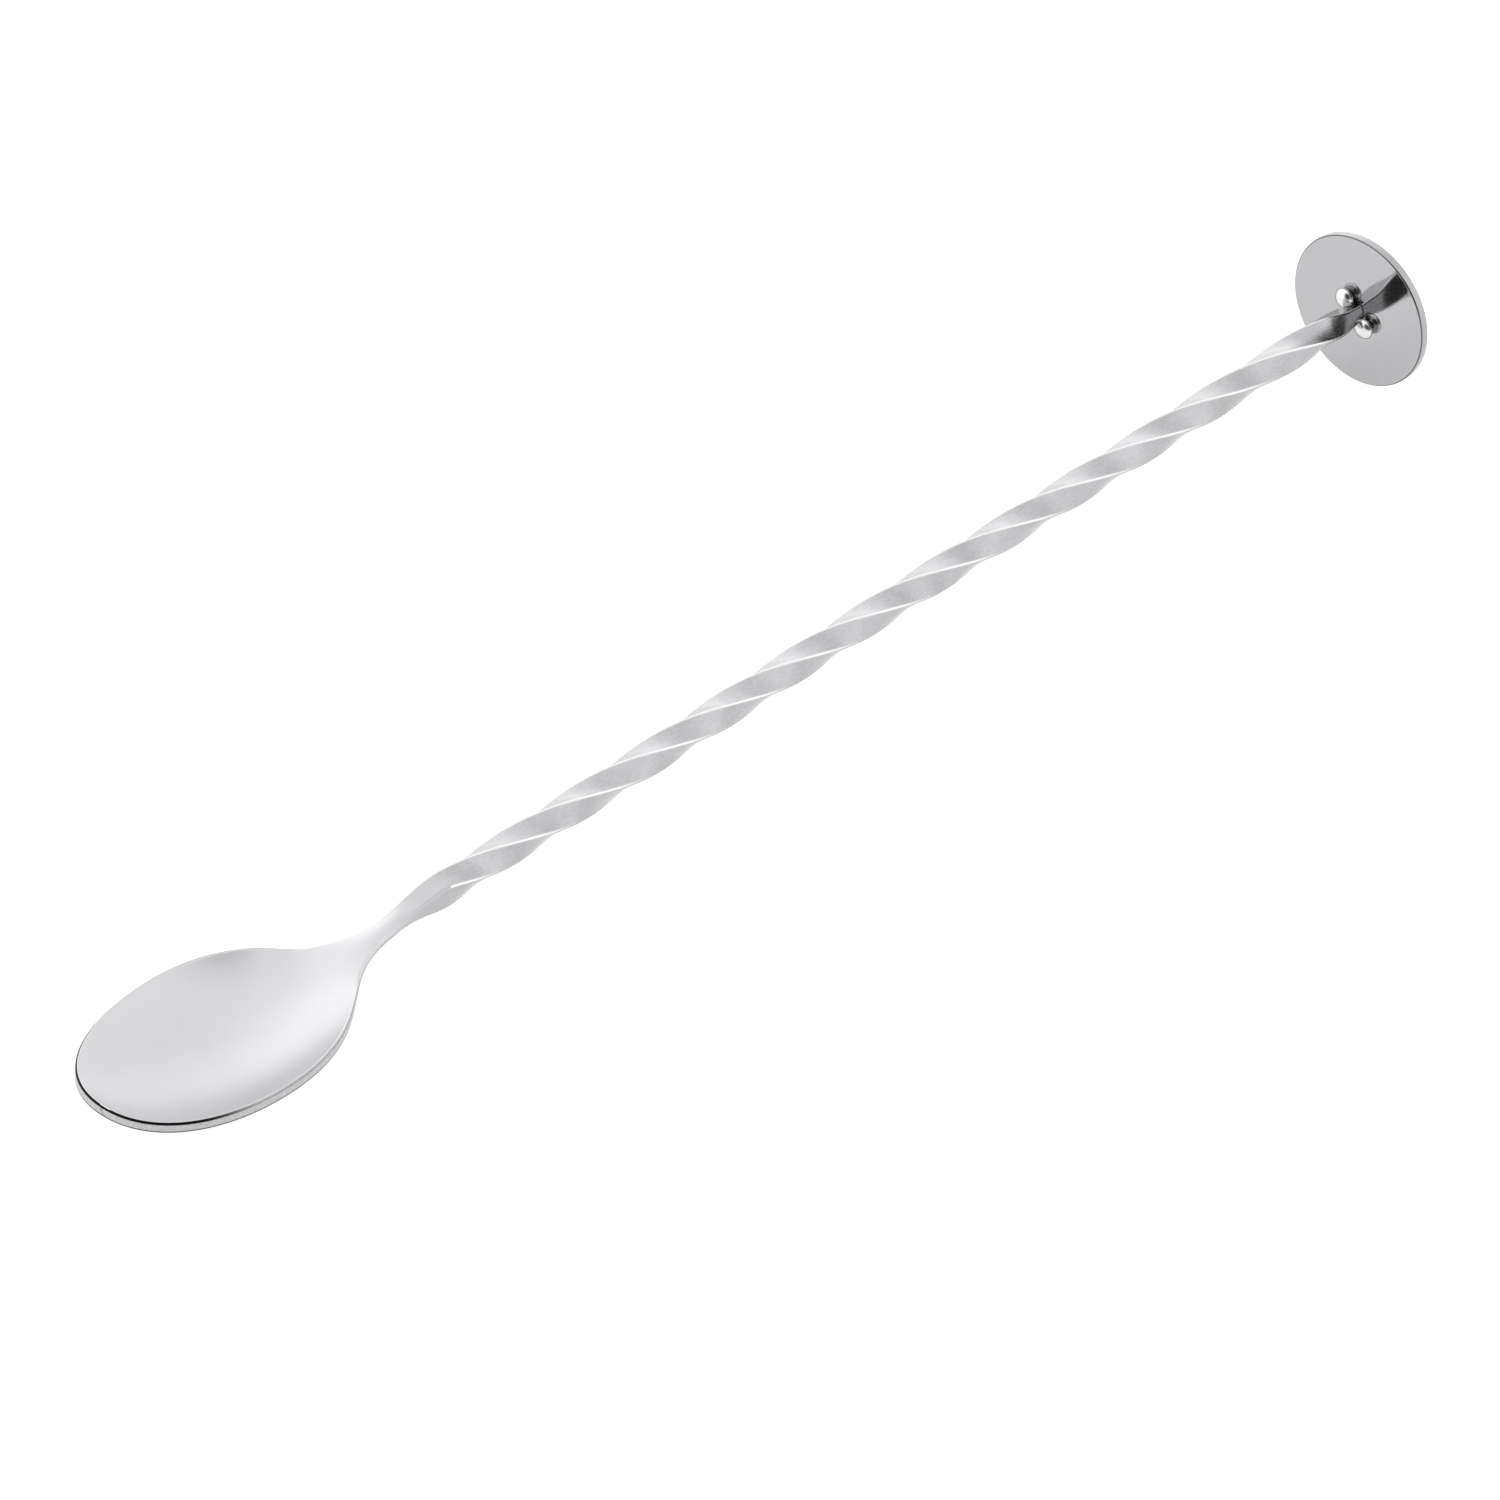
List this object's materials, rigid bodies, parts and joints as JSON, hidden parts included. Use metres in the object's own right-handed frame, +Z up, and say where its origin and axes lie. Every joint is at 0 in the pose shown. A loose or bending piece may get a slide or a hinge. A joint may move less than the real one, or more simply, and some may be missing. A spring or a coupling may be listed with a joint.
{
  "type": "twisted bar spoon with masher disc",
  "caption": "Long stirring spoon for drinks: a small pressed bowl on a twisted square stem that ends in a flat round masher disc set square to it.",
  "frame": {"origin": "The middle of the spoon's bounding box seen from above, at the height of its lowest point, where the bowl's keel and the disc's rim stand on a surface.", "axes": "+X runs along the stem from the bowl to the masher disc, +Z points up out of the bowl's mouth, and +Y is across the spoon."},
  "size_m": [0.2808, 0.0308, 0.0251],
  "materials": {
    "satin_bowl_steel": "satin, softly polished inside",
    "dressed_weld_steel": "ground flush and satin polished",
    "satin_stem_steel": "satin with fine lengthwise marks",
    "polished_disc_steel": "polished nearly to a mirror",
    "bead_steel": "glossy weld metal"
  },
  "bodies": {
    "root": {"spoon_bowl": "satin_bowl_steel", "neck_weld": "dressed_weld_steel", "twisted_stem": "satin_stem_steel", "masher_disc": "polished_disc_steel", "disc_weld_bead_1": "bead_steel", "disc_weld_bead_2": "bead_steel"}
  },
  "joints": []
}
